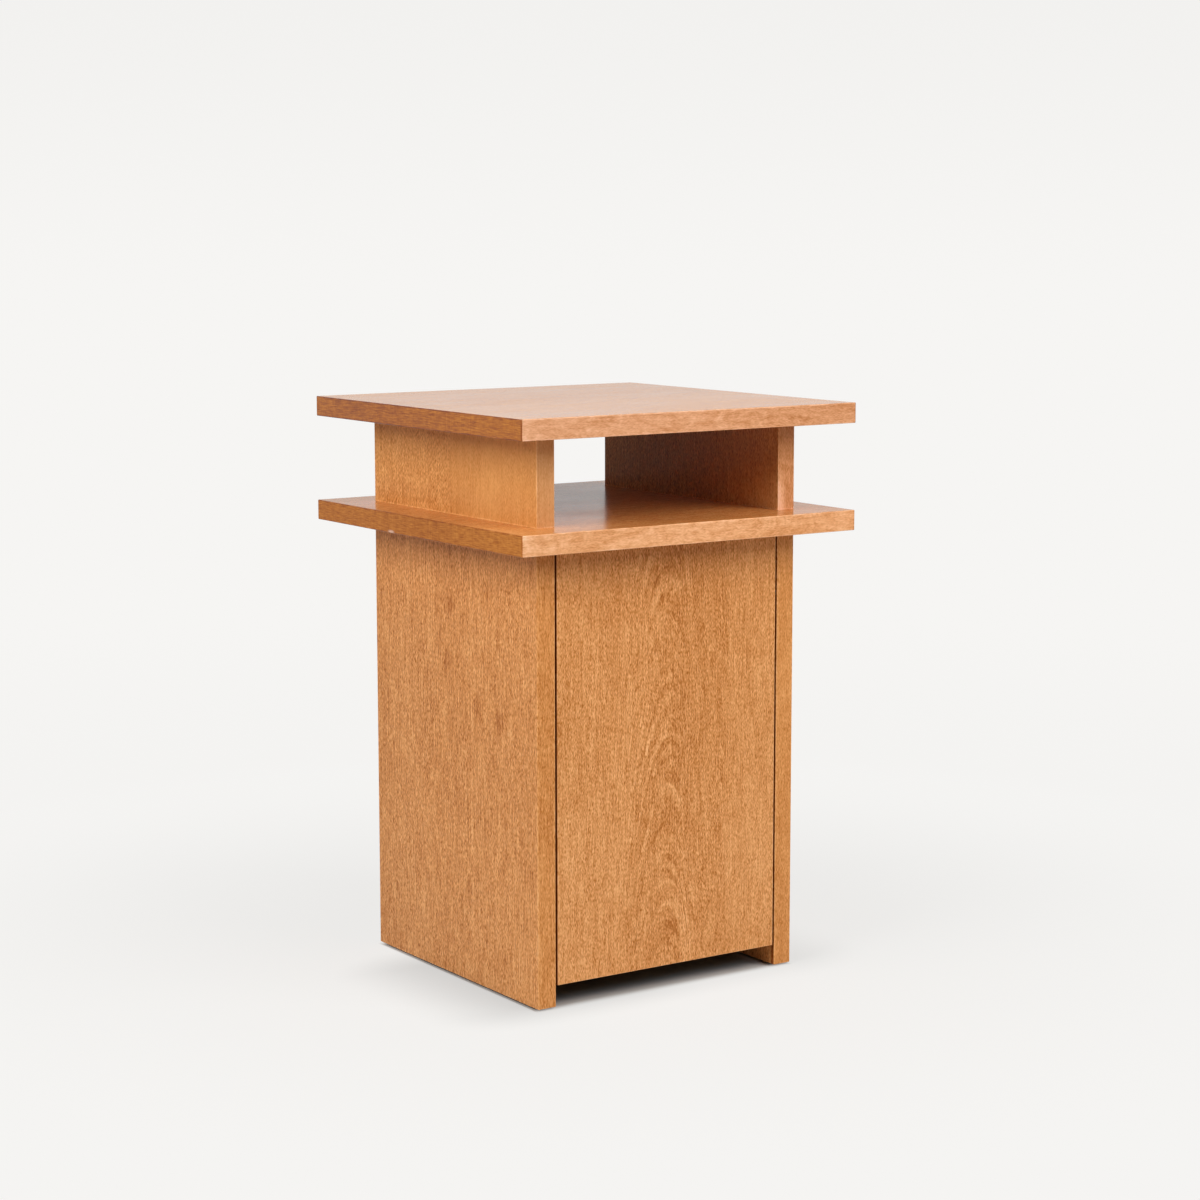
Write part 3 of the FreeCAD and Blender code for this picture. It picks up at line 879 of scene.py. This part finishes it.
@dataclass
class Niche:
    """The top, the open niche under it and the shelf below."""

    leaf_join: float = 1.4
    curls: Layer = Layer(2.0, 6.0, 2.6, 1.5, 0.6)
    top_edge: Colour = (0.66, 0.302, 0.138)
    shelf_edge: Colour = (0.745, 0.348, 0.15)
    top_end: Colour = (0.335, 0.09, 0.005)
    shelf_end: Colour = (0.345, 0.098, 0.01)
    left_edge: Colour = (0.56, 0.257, 0.09)
    right_edge: Colour = (0.62, 0.275, 0.115)
    left_base: Colour = (0.615, 0.257, 0.066)
    right_base: Colour = (0.58, 0.262, 0.074)
    slab_fibres: Layer = Layer(22.0, 0.9, 4.0, 1.5)
    slab_blotches: Layer = Layer(12.0, 4.0, 2.6, 2.0, 0.8)
    # Painted shade: the top's front edge darkens towards its far right end, where the lamp's sheen falls
    # off.
    painted_sheen_falloff: Mark = Mark((190.0, -193.0, 557.0), (230.0, 30.0, 30.0), -0.4)
    top_near_end: Mark = Mark((-194.0, -193.0, 557.0), (20.0, 170.0, 60.0), 0.45)
    shelf_near_end: Mark = Mark((-194.0, -193.0, 452.0), (20.0, 190.0, 60.0), 0.6)
    chip: Mark = Mark((-194.0, 44.0, 443.2), (3.0, 8.0, 2.4), 0.8)
    knot: Mark = Mark((131.0, 87.0, 474.5), (4.0, 4.0, 5.0), -2.6)
    # Painted light: a lighter patch on the inside of the niche's right side near its front, where the left
    # lamp's light would fall.
    painted_light_patch: Mark = Mark((131.0, -151.0, 462.0), (12.0, 125.0, 52.0), 2.0)

    def dress_slabs(self) -> None:
        """Veneers the top and the shelf, whose grain runs from side to side."""
        # The negative end arris tones of top and shelf paint a dark shadow line along their end arrises.
        top = Veneer(
            "top_veneer", Lay.SLAB, 3.1, edge_base=self.top_edge, end_base=self.top_end,
            end_arris_tone=-3.5, roughness=0.2, specular=0.25,
            fibres=self.slab_fibres, blotches=self.slab_blotches,
            marks=(self.painted_sheen_falloff, self.top_near_end),
            bands=(
                (-200.0, 0.0, 0.3, 0.4), (-60.0, 0.2, 0.4, 0.4),
                (40.0, -0.2, 0.3, 0.4), (200.0, 0.1, 0.4, 0.4),
            ),
        )
        shelf = Veneer(
            "shelf_veneer", Lay.SLAB, 23.7, tone=-0.1, edge_base=self.shelf_edge, end_base=self.shelf_end,
            end_tone=0.75, end_arris_tone=-2.2, roughness=0.21, specular=0.11,
            fibres=self.slab_fibres, blotches=self.slab_blotches,
            marks=(self.shelf_near_end,), bare=(self.chip,),
            bands=(
                (-200.0, 0.0, 0.3, 0.4), (-30.0, -0.2, 0.4, 0.4),
                (90.0, 0.2, 0.3, 0.4), (200.0, 0.0, 0.4, 0.4),
            ),
        )
        veneer("top_panel", top)
        veneer("mid_shelf", shelf)

    def dress_sides(self) -> None:
        """Veneers the niche's two sides, the left one from two leaves of different figure."""
        left = Veneer(
            "niche_left_veneer", Lay.SIDE, 41.3, base=self.left_base, edge_base=self.left_edge,
            join=self.leaf_join, specular=0.09, lean=1.1, arch=0.0, curl=self.curls,
            bands=(
                (-151.0, 0.2, 0.15, 0.35), (-60.0, 0.15, 0.2, 0.3), (-2.0, 0.0, 0.3, 0.35),
                (0.6, -0.1, 0.4, 0.4), (self.leaf_join, -0.5, 0.7, 0.6), (8.0, 0.0, 1.0, 0.75),
                (80.0, 0.1, 1.0, 0.8), (151.0, 0.0, 0.8, 0.8),
            ),
        )
        # Painted shade: the right side's lower tone darkens it all over, standing in for the dim inside of
        # the niche.
        right = Veneer(
            "niche_right_veneer", Lay.SIDE, 57.9, tone=-0.8, base=self.right_base, edge_base=self.right_edge,
            edge_tone=0.5, join=-40.0, specular=0.08, marks=(self.knot, self.painted_light_patch),
            bands=((-151.0, 0.0, 0.3, 0.6), (0.0, 0.2, 0.4, 0.8), (151.0, 0.0, 0.5, 0.9)),
        )
        veneer("upper_side_left", left)
        veneer("upper_side_right", right)

    def dress(self) -> None:
        """Finishes all boards and dowels of the niche."""
        self.dress_slabs()
        self.dress_sides()
        dowel = Timber("upright_dowel_beech", Axis.Z, 2.0).make()
        for node in ("top_dowels", "niche_dowels"):
            coat(node, dowel)


@dataclass
class Cabinet:
    """The cabinet's sides, bottom and back."""

    leaf_join: float = -34.0
    join_half: float = 1.6
    blotches: tuple[tuple[float, float], ...] = ((12.0, 319.0), (5.0, 375.0), (-45.0, 278.0), (-85.0, 269.0))
    blotch_reach: Vector3 = (30.0, 11.0, 17.0)
    blotch_tone: float = -1.2
    waves: Layer = Layer(5.0, 14.0, 3.0, 2.5, 0.6)
    streaks: Layer = Layer(45.0, 0.9, 1.1, 0.0)
    flecks: Layer = Layer(3.3, 0.5, 8.5, 0.5)
    # Painted light: lighter towards the bottom, standing in for the light that the floor throws back.
    painted_foot_light: Mark = Mark((-151.0, 0.0, 20.0), (60.0, 260.0, 210.0), 0.3)
    # Painted shadow: a dark line on the right side's inside just behind its front, where the gap beside the
    # door lies in shade.
    painted_gap_shade: Mark = Mark((131.0, -148.2, 220.0), (2.0, 2.7, 3000.0), -4.0)

    def dress_left(self) -> None:
        """Veneers the left side, which has a pale line where its two leaves meet."""
        left_x = board_box("lower_side_left")[0][0]
        marks = tuple(Mark((left_x, y, z), self.blotch_reach, self.blotch_tone) for y, z in self.blotches)
        left = Veneer(
            "cabinet_left_veneer", Lay.SIDE, 71.1, join=self.leaf_join, marks=(*marks, self.painted_foot_light),
            lean=0.6, arch=0.04, arch_at=15.0, edge_tone=-0.25,
            curl=self.waves, lines=self.streaks, flecks=self.flecks,
            bands=(
                (-151.0, 0.2, 0.3, 1.0), (-60.0, 0.0, 0.6, 1.1),
                (self.leaf_join - self.join_half, 0.0, 0.6, 1.1), (self.leaf_join, 0.8, 0.3, 1.0),
                (self.leaf_join + self.join_half, 0.0, 0.6, 1.1), (20.0, -0.15, 0.9, 1.1),
                (90.0, 0.15, 0.6, 1.1), (151.0, -0.1, 0.4, 1.0),
            ),
        )
        veneer("lower_side_left", left)

    def dress(self) -> None:
        """Finishes all boards and dowels of the cabinet."""
        self.dress_left()
        right = Veneer("cabinet_right_veneer", Lay.SIDE, 83.9, join=22.0, marks=(self.painted_gap_shade,))
        veneer("lower_side_right", right)
        veneer("bottom_panel", Veneer("cabinet_bottom_veneer", Lay.SLAB, 97.3, join=-12.0))
        veneer("back_panel", Veneer("cabinet_back_veneer", Lay.FRONT, 109.1, tone=-0.4, join=35.0))
        coat("cabinet_dowels", Timber("cabinet_dowel_beech", Axis.Z, 6.0).make())
        coat("bottom_dowels", Timber("bottom_dowel_beech", Axis.X, 8.0).make())


@dataclass
class Door:
    """The flush door and the strike on its back."""

    base: Colour = (0.61, 0.25, 0.0735)
    # The door's edges: a darker stain, partly real and partly painted shade for the narrow gaps beside the
    # door.
    edge_stain_and_gap_shade: Colour = (0.31, 0.115, 0.036)
    leaf_join: float = 14.0
    curly_from: float = -22.0
    curly_tail: float = 14.0
    dark_streaks: Range = (38.0, 62.0)
    streak_fades: Range = (8.0, 12.0)
    arches: Layer = Layer(10.0, 45.0, 5.0, 2.4, 0.3)
    # Painted light: lighter towards the bottom, standing in for the light that the floor throws back.
    painted_foot_light: Mark = Mark((0.0, -151.0, 40.0), (330.0, 60.0, 230.0), 0.35)
    strike: Pair = ((0.66, 0.66, 0.64), (0.46, 0.46, 0.45))
    # Painted shadow: a dark line along the door's left edge just behind its face, where the gap beside it
    # lies in shade.
    painted_edge_gap_shade: Mark = Mark((-129.0, -148.2, 220.0), (2.0, 2.7, 3000.0), -3.0)

    def dress(self) -> None:
        """Finishes the door: a curly band near its middle and dark streaks to its right."""
        first, last = self.dark_streaks
        first_fade, last_fade = self.streak_fades
        # The edges' darker colour and lower tone are partly painted shade for the gaps beside the door.
        panel = Veneer(
            "door_veneer", Lay.FRONT, 131.9, base=self.base, edge_base=self.edge_stain_and_gap_shade, edge_tone=-1.4,
            join=self.leaf_join, marks=(self.painted_foot_light, self.painted_edge_gap_shade),
            lean=0.4, arch=0.08, arch_at=8.0, curl=self.arches,
            bands=(
                (-131.0, 0.3, 0.1, 0.75), (-60.0, 0.2, 0.3, 0.8), (self.curly_from, -0.1, 0.8, 0.85),
                (self.leaf_join, -0.2, 1.0, 0.85), (self.leaf_join + self.curly_tail, -0.1, 0.8, 0.85),
                (first, -0.3, 0.4, 0.8), (first + first_fade, -0.05, 0.3, 0.8), (last, -0.25, 0.3, 0.8),
                (last + last_fade, 0.1, 0.1, 0.75), (131.0, 0.3, 0.0, 0.7),
            ),
        )
        veneer("door_panel", panel)
        coat("strike_plate", Metal("strike_zinc", Working.PLATED, *self.strike, 0.34, 3.0).make())
        coat("strike_screw", Metal("strike_screw_zinc", Working.TURNED_Y, *ZINC, 0.3, 4.0).make())


@dataclass
class Hinges:
    """The two concealed barrel hinges."""

    levels: tuple[str, str] = ("lower", "upper")
    brass: Pair = ((0.83, 0.61, 0.27), (0.62, 0.42, 0.17))
    steel: Pair = ((0.64, 0.62, 0.58), (0.42, 0.4, 0.37))

    def dress(self) -> None:
        """Finishes barrels in turned brass and links and pins in steel."""
        side = Metal("cabinet_barrel_brass", Working.TURNED_X, *self.brass, 0.3, 5.0).make()
        leaf = Metal("door_barrel_brass", Working.TURNED_X, *self.brass, 0.3, 6.0).make()
        links = Metal("link_steel", Working.ROLLED, *self.steel, 0.35, 7.0).make()
        pins = Metal("pin_steel", Working.DRAWN, *self.steel, 0.25, 8.0).make()
        for level in self.levels:
            coat(f"hinge_barrel_cabinet_{level}", side)
            coat(f"hinge_barrel_door_{level}", leaf)
            coat(f"hinge_link_cabinet_{level}", links)
            coat(f"hinge_link_door_{level}", links)
        for node in frame["nodes"]:
            if node.startswith("hinge_") and ("pins" in node or "rivets" in node):
                coat(node, pins)


@dataclass
class Latch:
    """The push latch under the shelf. Its spring is wound anew."""

    shell: Colour = (0.72, 0.7, 0.65)
    tip: Colour = (0.3, 0.3, 0.3)
    nickel: Pair = ((0.6, 0.59, 0.56), (0.44, 0.43, 0.41))
    wire: Pair = ((0.58, 0.57, 0.55), (0.38, 0.37, 0.35))
    wire_radius: float = 0.35
    turns: int = 7
    steps: int = 36
    sides: int = 12
    stroke: float = 2.5

    def coil_points(self, low: np.ndarray, high: np.ndarray) -> np.ndarray:
        """Works out the spring's wire: a circle carried along a helix about the plunger's axis.

        At an angle the helix lies one radius out from the axis and one share of the rise along it. The
        wire's ring there is its radius times the cosine of its own angle outwards, plus its sine along
        the direction at right angles to both outwards and the helix's run.

        Args:
            low: The spring's lowest corner in millimetres.
            high: Its highest corner.

        Returns:
            The points of each ring, in millimetres.
        """
        middle = 0.5 * (low + high)
        radius = middle[0] - low[0] - self.wire_radius
        rise = (high[1] - low[1] - 2.0 * self.wire_radius) / (2.0 * np.pi * self.turns)
        angle = np.linspace(0.0, 2.0 * np.pi * self.turns, self.turns * self.steps + 1)
        still = np.zeros_like(angle)
        outward = np.stack([np.cos(angle), still, np.sin(angle)], axis=1)
        run = np.stack([-radius * np.sin(angle), np.full_like(angle, rise), radius * np.cos(angle)], axis=1)
        aside = np.cross(run / np.linalg.norm(run, axis=1, keepdims=True), outward)
        along = np.stack([still, rise * angle, still], axis=1)
        start = np.array([middle[0], low[1] + self.wire_radius, middle[2]])
        turn = (np.arange(self.sides) * 2.0 * np.pi / self.sides)[None, :, None]
        ring = outward[:, None] * np.cos(turn) + aside[:, None] * np.sin(turn)
        return (start + radius * outward + along)[:, None] + self.wire_radius * ring

    def coil_faces(self, rings: int) -> list[list[int]]:
        """Joins the rings of points by quads, and closes both ends of the wire.

        Args:
            rings: How many rings there are.

        Returns:
            The points of each face.
        """
        index = np.arange(rings * self.sides).reshape(rings, self.sides)
        ahead = np.roll(index, -1, axis=1)
        quads = np.stack([index[:-1], ahead[:-1], ahead[1:], index[1:]], axis=-1).reshape(-1, 4)
        return quads.tolist() + [index[0, ::-1].tolist(), index[-1].tolist()]

    def wind_spring(self, finish: Material) -> None:
        """Winds a spring in place of the stiff one.

        Args:
            finish: The wire's finish.
        """
        low, high = (np.array(corner) for corner in board_box("latch_spring"))
        rings = self.coil_points(low, high)
        faces = self.coil_faces(len(rings))
        coil = add_piece("latch_coil", rings.reshape(-1, 3) / MM_PER_METRE, faces, finish, smooth=True)
        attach(coil, "carcass")
        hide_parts("latch_spring")
        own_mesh(coil)

    def dress(self) -> None:
        """Finishes the latch's plastic, magnet, spring and screws."""
        finishes = (
            ("latch_housing", Plastic("latch_housing_plastic", self.shell, (0.8, 0.78, 0.73), 0.45, 2.0)),
            ("latch_tube", Plastic("latch_tube_plastic", self.shell, (0.78, 0.75, 0.7), 0.4, 5.0)),
            ("latch_plunger", Plastic("latch_plunger_plastic", self.tip, (0.38, 0.38, 0.38), 0.4, 8.0)),
            ("latch_magnet", Metal("magnet_nickel", Working.PLATED, *self.nickel, 0.25, 9.0)),
            ("latch_screws", Metal("latch_screw_zinc", Working.PLATED, *ZINC, 0.3, 11.0)),
        )
        for node, finish in finishes:
            coat(node, finish.make())
        spring = Metal("spring_wire", Working.DRAWN, *self.wire, 0.3, 10.0).make()
        coat("latch_spring", spring)
        self.wind_spring(spring)


@dataclass
class Glides:
    """The nail-on glides under the cabinet's sides."""

    brown: Pair = ((0.16, 0.09, 0.05), (0.24, 0.15, 0.09))
    zinc: Pair = ((0.64, 0.63, 0.6), (0.45, 0.44, 0.41))

    def dress(self) -> None:
        """Finishes the pads in brown plastic and the nails in zinc."""
        coat("glide_pads", Plastic("glide_pad_plastic", *self.brown, 0.45, 12.0).make())
        coat("glide_nails", Metal("glide_nail_zinc", Working.PLATED, *self.zinc, 0.35, 13.0).make())


FAR_BACKDROP: Colour = (0.922, 0.913, 0.896)
BLACK: Colour = (0.0, 0.0, 0.0)


@dataclass(frozen=True)
class PaleFloor:
    """The floor's finish. Its lengths are millimetres, mostly from the table's middle."""

    name: str = "pale_floor"
    colour: Colour = (0.62, 0.617, 0.606)
    # Painted shadow: the floor is darker and bluer under the cabinet, so that the shade there reads dark
    # grey.
    under_shade_colour: Colour = (0.24, 0.3, 0.35)
    near_colour: Colour = (0.955, 0.947, 0.931)
    middle_colour: Colour = (0.905, 0.897, 0.881)
    footprint: float = 151.0
    haze_seed: float = 3.0
    haze_size: Vector3 = (260.0, 260.0, 260.0)
    haze_darkest: float = 0.985
    under_shade_rim: Range = (-34.0, -6.0)
    share_rim_x: Range = (-1.0, 3.0)
    share_rim_y: Range = (-12.0, 4.0)
    share_reach: Range = (250.0, 1000.0)
    near_share: float = 0.8
    middle_reach: Range = (300.0, 1100.0)
    far_reach: Range = (900.0, 2600.0)
    dim_levels: Range = (0.76, 0.88)
    dim_change: Range = (-50.0, 50.0)
    dim_reach: Range = (-10.0, 115.0)
    dim_middle: float = -40.0
    dim_half: float = 85.0
    dim_steepness: float = 1.5

    def make(self) -> Material:
        """Writes the floor: pale and matt, and for the camera mostly the backdrop's own colour.

        The backdrop's share falls to nothing under the cabinet, so the shadow there stays whole, and
        grows to all of it far away, where floor and backdrop meet.

        Returns:
            The material.
        """
        ink = Recipe(self.name)
        place = ink.place()
        distance = ink.length(place)
        x, y, _ = ink.split(ink.vector("ABSOLUTE", place))
        dim = self._dim(ink, place, x)
        haze = ink.noise(place, self.haze_size, self.haze_seed, detail=3.0)
        darkest = tuple(self.haze_darkest * part for part in self.colour)
        ground = ink.ramp(haze, [(0.3, darkest), (0.7, self.colour)])
        # Painted shadow: under the cabinet the ground takes the darker, bluer colour.
        under = self._rim(ink, ink.sum("MAXIMUM", x, y), self.under_shade_rim)
        ground = ink.mix(under, self.under_shade_colour, ground)
        near = ink.mix(ink.span(distance, *self.middle_reach), self.near_colour, self.middle_colour)
        shown = ink.mix(ink.span(distance, *self.far_reach), near, FAR_BACKDROP)
        matt = ink.add("ShaderNodeBsdfDiffuse", ink.mix(dim, BLACK, ground))
        backdrop = ink.add("ShaderNodeEmission", ink.mix(dim, BLACK, shown))
        rims = (self._rim(ink, x, self.share_rim_x), self._rim(ink, y, self.share_rim_y))
        share = ink.span(distance, *self.share_reach, self.near_share, 1.0)
        share = ink.sum("MULTIPLY", ink.sum("MAXIMUM", *rims), share)
        ink.replace_shader(ink.backdrop_or(matt.outputs[0], backdrop.outputs[0], share))
        return ink.material

    def _rim(self, ink: Recipe, distance: Socket, rim: Range) -> Socket:
        """Returns a mask that grows from 0 to 1 over a range about the cabinet's outline."""
        return ink.span(distance, *(self.footprint + part for part in rim))

    def _dim(self, ink: Recipe, place: Socket, x: Socket) -> Socket:
        """Dims the floor beside the cabinet, whose sides keep off the studio's light, more on its left.

        The light grows with the distance from a block under the cabinet: the length of a vector of how
        far the point lies beside the block, and how far before or behind it times a steepness.

        Args:
            ink: The material being written.
            place: The point in millimetres.
            x: The point's distance from the middle, sideways.

        Returns:
            The share of the floor's own brightness.
        """
        toward_x, toward_y, _ = ink.split(place)
        beside = ink.sum("MAXIMUM", ink.sum("SUBTRACT", x, self.footprint), 0.0)
        along = ink.sum("ABSOLUTE", ink.sum("SUBTRACT", toward_y, self.dim_middle))
        along = ink.sum("MAXIMUM", ink.sum("SUBTRACT", along, self.dim_half), 0.0)
        apart = ink.length(ink.join(beside, ink.sum("MULTIPLY", along, self.dim_steepness)))
        level = ink.span(toward_x, *self.dim_change, *self.dim_levels)
        return ink.span(apart, *self.dim_reach, level, 1.0)


@dataclass(frozen=True)
class Softbox:
    """A flat lamp that looks at the table, placed by angles from the table's front and the floor."""

    name: str
    azimuth: float
    elevation: float
    distance: float
    width: float
    height: float
    watts: float


@dataclass
class Studio:
    """The pale floor, the backdrop light, the lamps and the camera."""

    floor_radius: float = 14.0
    rings: int = 48
    spokes: int = 96
    high_colour: Colour = (0.888, 0.88, 0.864)
    horizon: Range = (-0.04, 0.09)
    sky_colour: Colour = (1.0, 0.995, 0.98)
    sky_level: float = 0.12
    target: Vector3 = (0.0, 0.0, 0.26)
    lamp_colour: Colour = (1.0, 0.99, 0.97)
    softboxes: tuple[Softbox, ...] = (
        Softbox("left_softbox", 80.0, 35.0, 2.6, 1.4, 1.5, 51.0),
        Softbox("front_softbox", -22.0, 36.0, 2.6, 1.6, 1.4, 49.0),
    )
    camera_place: Vector3 = (-1.52468, -2.27865, 0.75452)
    camera_right: Vector3 = (0.82727471, -0.561797095, -0.000760329)
    camera_up: Vector3 = (0.07954773, 0.1157981, 0.9900823)
    camera_back: Vector3 = (-0.55613731, -0.81913053, 0.14048652)
    lens: float = 82.597
    sensor: float = 36.0
    sight: float = 100.0

    def lay_floor(self) -> None:
        """Lays a flat disc: rings at a radius growing with the square of their number, joined by quads."""
        radii = self.floor_radius * (np.arange(1, self.rings + 1) / self.rings) ** 2
        angles = np.arange(self.spokes) * 2.0 * np.pi / self.spokes
        ring, spoke = np.meshgrid(radii, angles, indexing="ij")
        points = np.stack([ring * np.cos(spoke), ring * np.sin(spoke), np.zeros_like(ring)], axis=-1)
        points = np.vstack([np.zeros((1, 3)), points.reshape(-1, 3)])
        inner = 1 + np.arange((self.rings - 1) * self.spokes)
        turn = (inner - 1) // self.spokes * self.spokes + 1 + inner % self.spokes
        quads = np.stack([inner, inner + self.spokes, turn + self.spokes, turn], axis=1)
        rim = 1 + np.arange(self.spokes)
        fan = np.stack([np.zeros_like(rim), rim, 1 + (rim % self.spokes)], axis=1)
        floor = add_piece("floor", points, quads.tolist() + fan.tolist(), PaleFloor().make())

    def hang_backdrop(self) -> None:
        """Sets the world: the backdrop's colour where it is seen, and a dimmer even light elsewhere."""
        world = bpy.data.worlds.new("studio_backdrop")
        world.use_nodes = True
        bpy.context.scene.world = world
        ink = Graph(world.node_tree)
        height = ink.split(ink.add("ShaderNodeTexCoord").outputs["Generated"])[Axis.Z.value]
        colour = ink.mix(ink.span(height, *self.horizon), FAR_BACKDROP, self.high_colour)
        backdrop = ink.add("ShaderNodeBackground", colour, 1.0)
        sky = ink.add("ShaderNodeBackground", opaque(self.sky_colour), self.sky_level)
        ink.add("ShaderNodeOutputWorld", ink.backdrop_or(sky.outputs[0], backdrop.outputs[0]))

    def hang_lamps(self) -> None:
        """Hangs the softboxes, each turned to the table's middle."""
        target = np.array(self.target)
        for box in self.softboxes:
            turn = np.radians(box.azimuth)
            rise = np.radians(box.elevation)
            away = np.array([-np.sin(turn) * np.cos(rise), -np.cos(turn) * np.cos(rise), np.sin(rise)])
            right = np.cross([0.0, 0.0, 1.0], away)
            right = right / np.linalg.norm(right)
            lamp = bpy.data.lights.new(box.name, "AREA")
            lamp.shape = "RECTANGLE"
            lamp.size = box.width
            lamp.size_y = box.height
            lamp.energy = box.watts
            lamp.color = self.lamp_colour
            holder = add_object(box.name, lamp)
            holder.matrix_world = aimed(target + away * box.distance, right, np.cross(away, right), away)

    def set_camera(self) -> None:
        """Sets the camera to the place and lens that were fitted to the photograph."""
        view = bpy.data.cameras.new("camera")
        view.sensor_width = self.sensor
        view.lens = self.lens
        view.clip_end = self.sight
        holder = add_object("camera", view)
        holder.matrix_world = aimed(self.camera_place, self.camera_right, self.camera_up, self.camera_back)
        bpy.context.scene.camera = holder
        bpy.context.scene.view_settings.view_transform = "Standard"

    def build(self) -> None:
        """Builds everything that isn't part of the object."""
        self.lay_floor()
        self.hang_backdrop()
        self.hang_lamps()
        self.set_camera()


def aimed(
    place: Sequence[float], right: Sequence[float], up: Sequence[float], back: Sequence[float]
) -> Matrix:
    """Returns the matrix of a lamp or camera at a place, from its own x, y and z directions."""
    turned = np.stack([right, up, back, place], axis=1)
    return Matrix([*turned.tolist(), [0.0, 0.0, 0.0, 1.0]])


def clear_startup() -> None:
    """Removes the objects that a new Blender file starts with."""
    kept = set(frame["nodes"].values()) | set(frame["bodies"].values())
    for thing in list(bpy.data.objects):
        if thing not in kept and thing.parent is None and thing.type in {"MESH", "LIGHT", "CAMERA"}:
            bpy.data.objects.remove(thing, do_unlink=True)


def main() -> None:
    """Builds and dresses the table and the studio, in order."""
    logging.basicConfig(level=logging.INFO, format="%(name)s %(message)s")
    clear_startup()
    Studio().build()
    for assembly in (Niche(), Cabinet(), Door(), Hinges(), Latch(), Glides()):
        assembly.dress()


if __name__ == "__main__":
    main()
